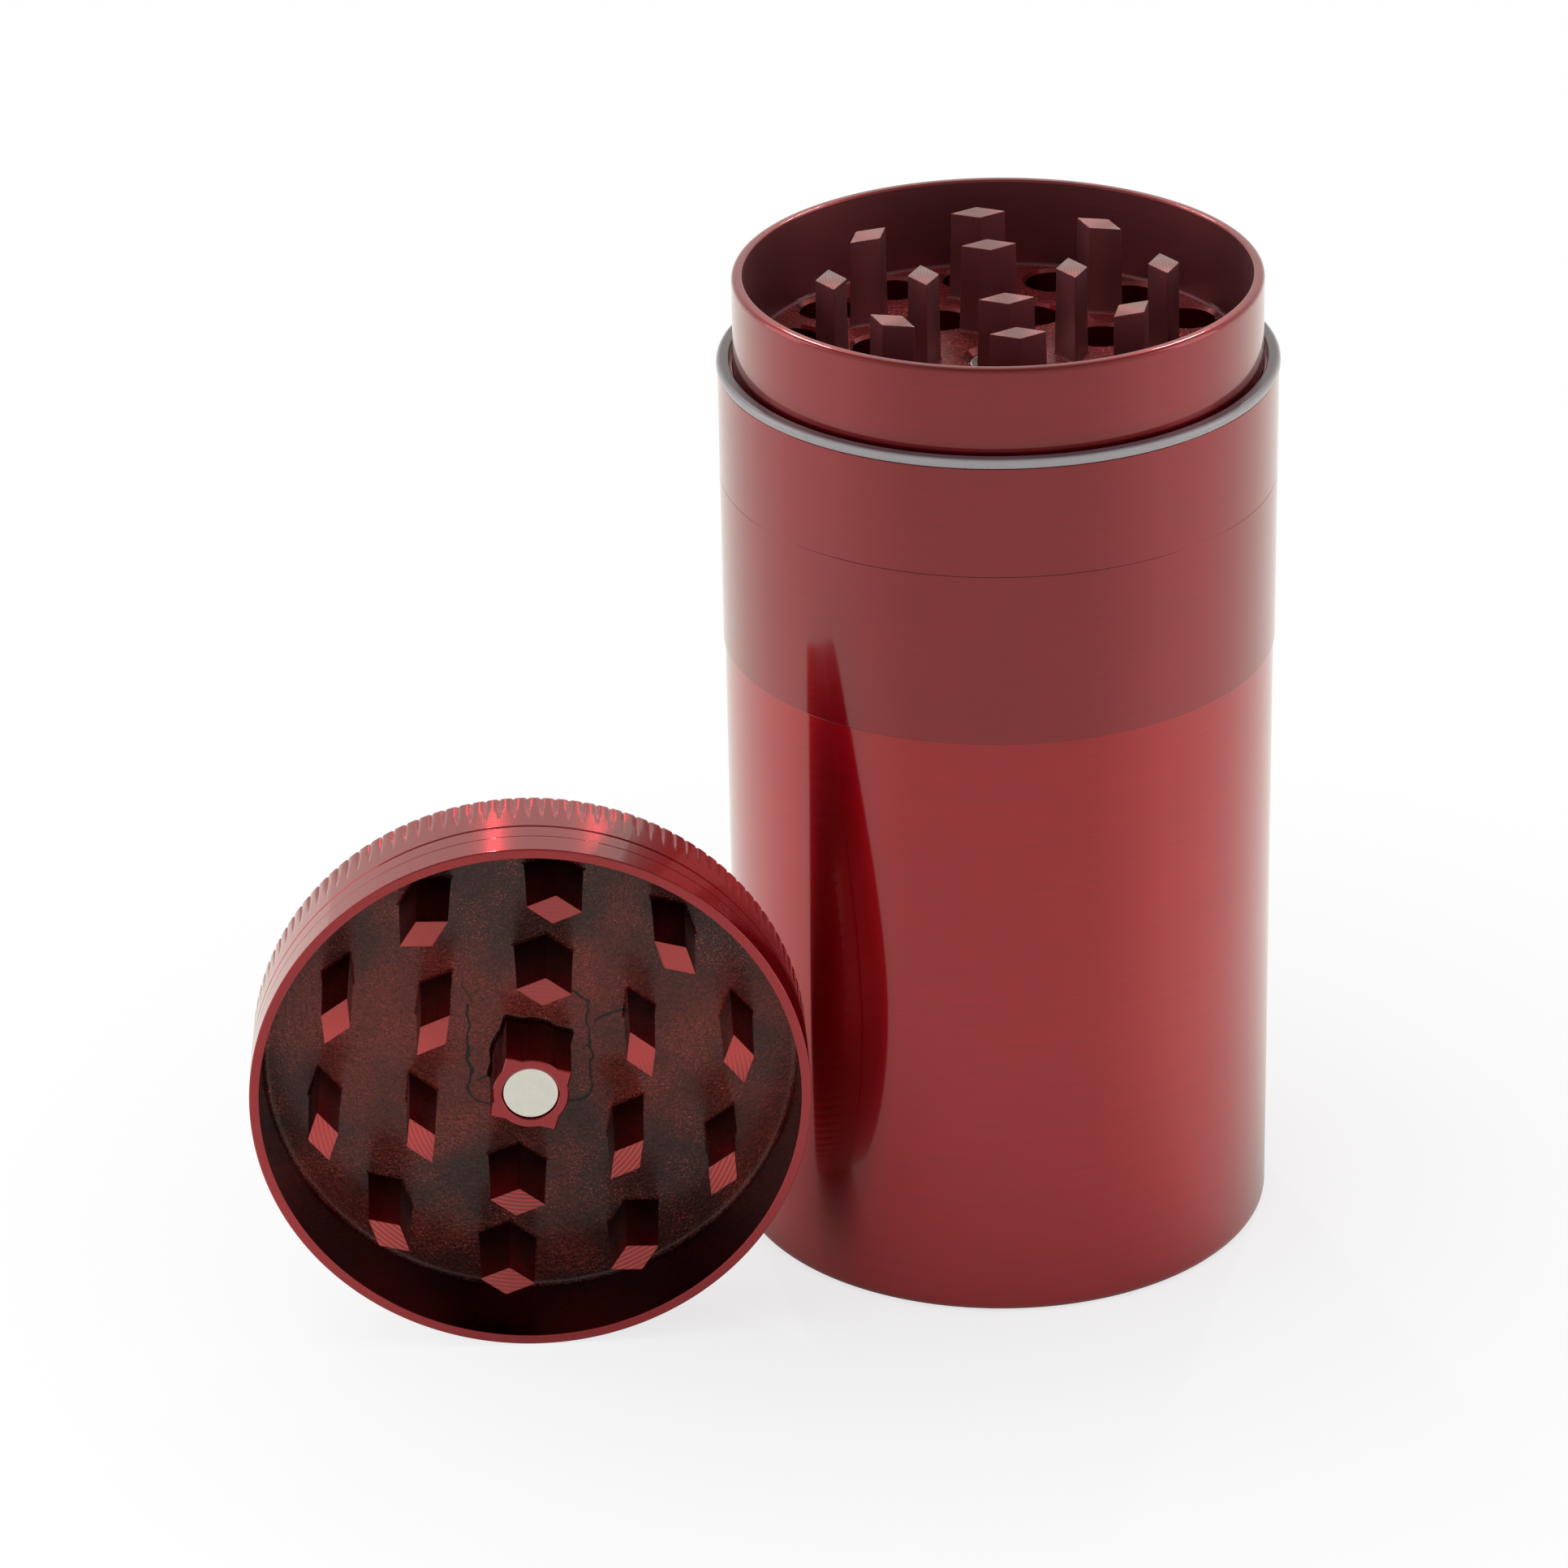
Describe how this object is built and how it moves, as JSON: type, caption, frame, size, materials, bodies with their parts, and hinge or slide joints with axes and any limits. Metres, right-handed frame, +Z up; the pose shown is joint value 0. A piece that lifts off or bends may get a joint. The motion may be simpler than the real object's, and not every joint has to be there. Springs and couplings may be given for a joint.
{
  "type": "hand grinder",
  "caption": "Tall round hand grinder in red aluminium: toothed lid laid on its side, open toothed grinding chamber, sifter ring with screen, and deep storage jar.",
  "frame": {"origin": "centre of the jar's flat base, on the surface it stands on", "axes": "+Z up along the grinder's screw axis, -Y towards the front, +X to the right; the lid lies to the front left"},
  "size_m": [0.0925, 0.0573, 0.092],
  "materials": {
    "red_anodised": "satin anodised, fine turning lines",
    "steel_mesh": "woven wire",
    "spring_steel": "plain",
    "nylon": "milky, slightly shiny",
    "nickel_plate": "nickel plated, slightly dulled"
  },
  "bodies": {
    "jar": {"jar": "red_anodised"},
    "screen": {"sifter_screen": "steel_mesh"},
    "sifter": {"sifter_ring": "red_anodised", "snap_ring": "spring_steel"},
    "washer": {"friction_washer": "nylon"},
    "chamber": {"grinding_chamber": "red_anodised", "chamber_magnet": "nickel_plate"},
    "lid": {"lid": "red_anodised", "lid_magnet": "nickel_plate"}
  },
  "joints": [
    {"name": "screen_lift", "type": "slide", "parent": "jar", "child": "screen", "axis": [0, 0, 1], "range_m": [0, 0.0046]},
    {"name": "sifter_turn", "type": "hinge", "parent": "screen", "child": "sifter", "pos_m": [0, 0, 0.0573], "axis": [0, 0, 1], "range_deg": [0, 1080]},
    {"name": "washer_lift", "type": "slide", "parent": "sifter", "child": "washer", "axis": [0, 0, 1], "range_m": [0, 0.0046]},
    {"name": "chamber_turn", "type": "hinge", "parent": "washer", "child": "chamber", "pos_m": [0, 0, 0.0733], "axis": [0, 0, 1], "range_deg": [0, 1080]},
    {"name": "lid_lift", "type": "slide", "parent": "jar", "child": "lid", "axis": [0, 0, 1], "range_m": [0, 0.1]}
  ],
  "couplings": [
    {"joint": "screen_lift", "follows": "sifter_turn", "m_per_rad": 0.00023873},
    {"joint": "washer_lift", "follows": "chamber_turn", "m_per_rad": 0.00023873}
  ]
}
